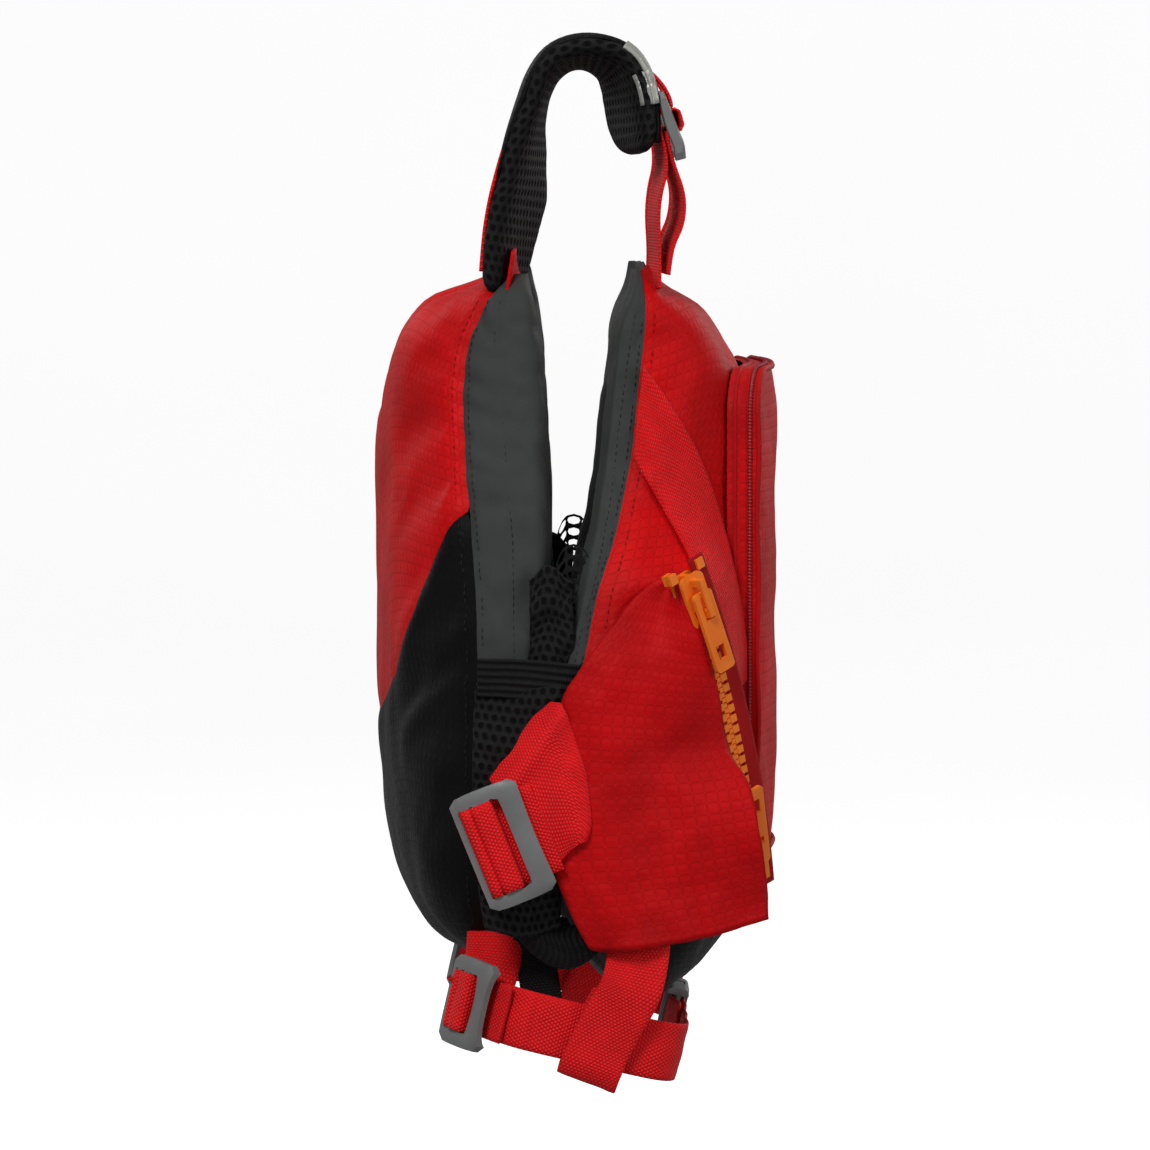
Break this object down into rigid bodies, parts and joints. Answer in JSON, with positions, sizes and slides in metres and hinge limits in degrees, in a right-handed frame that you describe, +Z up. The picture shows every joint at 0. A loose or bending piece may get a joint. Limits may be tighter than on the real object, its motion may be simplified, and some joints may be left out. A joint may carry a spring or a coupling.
{
  "type": "life jacket",
  "caption": "Foam-filled sailing buoyancy vest hanging by its shoulder straps, with side zip, chest pocket, ladder-lock webbing and waist belt.",
  "frame": {"origin": "midway between the two shoulder straps, level with the underside of their highest point, where a hanger carries the vest", "axes": "+Z up, -Y the wearer's front, +X the wearer's left"},
  "size_m": [0.3242, 0.175, 0.4421],
  "materials": {
    "red_ripstop": "ripstop weave, satin",
    "black_ripstop": "ripstop weave, satin",
    "grey_lining": "plain weave, slight sheen",
    "black_mesh": "open knitted mesh",
    "black_elastic": "ribbed elastic",
    "red_webbing": "woven webbing",
    "silver_tape": "retro-reflective tape",
    "grey_plastic": "moulded acetal, satin",
    "dark_plastic": "moulded acetal, satin",
    "orange_plastic": "moulded zip, semi-gloss",
    "zip_cloth": "woven zip tape",
    "foam": "closed-cell foam sheet"
  },
  "bodies": {
    "vest": {"back_foam": "foam", "back_lining": "grey_lining", "back_shell_lower": "black_ripstop", "back_shell_upper": "red_ripstop", "buckle_socket": "grey_plastic", "front_foam": "foam", "front_hem_panel": "black_ripstop", "front_lining": "grey_lining", "front_shell": "red_ripstop", "harness_tape_left": "red_webbing", "harness_tape_right": "red_webbing", "keeper_loop_left": "red_webbing", "keeper_loop_right": "red_webbing", "pocket_face": "red_ripstop", "pocket_gusset": "red_ripstop", "pocket_zip": "zip_cloth", "reflective_band_left": "silver_tape", "reflective_band_right": "silver_tape", "shoulder_anchor_left": "red_webbing", "shoulder_anchor_right": "red_webbing", "shoulder_cover_left": "red_ripstop", "shoulder_cover_right": "red_ripstop", "shoulder_pad_left": "black_mesh", "shoulder_pad_right": "black_mesh", "shoulder_webbing_left": "red_webbing", "shoulder_webbing_right": "red_webbing", "side_anchor_left": "red_webbing", "side_anchor_right": "red_webbing", "side_mesh_left": "black_mesh", "side_mesh_right": "black_mesh", "side_webbing_left": "red_webbing", "side_webbing_right": "red_webbing", "side_wing_left": "red_ripstop", "side_wing_right": "red_ripstop", "waist_belt_left": "red_webbing", "waist_belt_right": "red_webbing", "waist_elastic_left": "black_elastic", "waist_elastic_right": "black_elastic", "waist_tab_left": "red_webbing", "waist_tab_right": "red_webbing", "zip_stops": "orange_plastic", "zip_tape_front": "zip_cloth", "zip_tape_wing": "zip_cloth", "zip_teeth_front": "orange_plastic", "zip_teeth_wing": "orange_plastic"},
    "buckle_plug": {"buckle_plug": "grey_plastic", "buckle_prongs": "grey_plastic"},
    "pocket_pull": {"pocket_pull": "dark_plastic"},
    "pocket_slider": {"pocket_slider": "dark_plastic"},
    "shoulder_lock_left": {"shoulder_lock_left": "grey_plastic"},
    "shoulder_lock_right": {"shoulder_lock_right": "grey_plastic"},
    "side_lock_left": {"side_lock_left": "grey_plastic"},
    "side_lock_right": {"side_lock_right": "grey_plastic"},
    "waist_lock_left": {"waist_lock_left": "dark_plastic"},
    "waist_lock_right": {"waist_lock_right": "dark_plastic"},
    "zip_pull_lower": {"zip_pull_lower": "orange_plastic"},
    "zip_pull_upper": {"zip_pull_upper": "orange_plastic"},
    "zip_slider_lower": {"zip_slider_lower": "orange_plastic"},
    "zip_slider_upper": {"zip_slider_upper": "orange_plastic"}
  },
  "joints": [
    {"name": "shoulder_lock_right_tilt", "type": "hinge", "parent": "vest", "child": "shoulder_lock_right", "pos_m": [-0.076, -0.03699, -0.00996], "axis": [-1, 0, 0], "range_deg": [0, 25], "deforming": ["shoulder_webbing_right"]},
    {"name": "shoulder_lock_left_tilt", "type": "hinge", "parent": "vest", "child": "shoulder_lock_left", "pos_m": [0.076, -0.03699, -0.00996], "axis": [-1, 0, 0], "range_deg": [0, 25], "deforming": ["shoulder_webbing_left"]},
    {"name": "side_lock_right_tilt", "type": "hinge", "parent": "vest", "child": "side_lock_right", "pos_m": [-0.158, 0.0427, -0.3284], "axis": [0, -0.3779, -0.9258], "range_deg": [0, 25], "deforming": ["side_webbing_right"]},
    {"name": "side_lock_left_tilt", "type": "hinge", "parent": "vest", "child": "side_lock_left", "pos_m": [0.158, 0.0427, -0.3284], "axis": [0, 0.3779, 0.9258], "range_deg": [0, 25], "deforming": ["side_webbing_left"]},
    {"name": "waist_lock_right_tilt", "type": "hinge", "parent": "vest", "child": "waist_lock_right", "pos_m": [-0.1112, 0.05271, -0.39183], "axis": [0, 0.225, -0.9744], "range_deg": [0, 25], "deforming": ["waist_belt_right"]},
    {"name": "waist_lock_left_tilt", "type": "hinge", "parent": "vest", "child": "waist_lock_left", "pos_m": [0.1112, 0.05271, -0.39183], "axis": [0, -0.225, 0.9744], "range_deg": [0, 25], "deforming": ["waist_belt_left"]},
    {"name": "zip_slider_upper_travel", "type": "hinge", "parent": "vest", "child": "zip_slider_upper", "pos_m": [0.16937, 0.33908, -0.26505], "axis": [0.7431, -0.5507, 0.3802], "range_deg": [0, 5.05], "deforming": ["zip_teeth_wing", "zip_teeth_front"]},
    {"name": "zip_slider_lower_travel", "type": "hinge", "parent": "vest", "child": "zip_slider_lower", "pos_m": [0.16937, 0.33908, -0.26505], "axis": [0.7431, -0.5507, 0.3802], "range_deg": [-1.38, 0], "deforming": ["zip_teeth_wing", "zip_teeth_front"]},
    {"name": "zip_pull_upper_swing", "type": "hinge", "parent": "zip_slider_upper", "child": "zip_pull_upper", "pos_m": [-0.14633, -0.05306, -0.21901], "axis": [-0.6238, 0.6775, -0.3896], "range_deg": [0, 120]},
    {"name": "zip_pull_lower_swing", "type": "hinge", "parent": "zip_slider_lower", "child": "zip_pull_lower", "pos_m": [-0.10627, -0.07892, -0.33476], "axis": [0.637, -0.6861, 0.3514], "range_deg": [0, 120]},
    {"name": "pocket_slider_travel", "type": "slide", "parent": "vest", "child": "pocket_slider", "axis": [0, 0, 1], "range_m": [0, 0.14]},
    {"name": "pocket_pull_swing", "type": "hinge", "parent": "pocket_slider", "child": "pocket_pull", "pos_m": [0.0901, -0.0735, -0.28835], "axis": [0, -1, 0], "range_deg": [0, 110]},
    {"name": "buckle_release", "type": "slide", "parent": "vest", "child": "buckle_plug", "axis": [-1, 0, 0], "range_m": [0, 0.026], "deforming": ["buckle_prongs", "waist_belt_right"]}
  ]
}
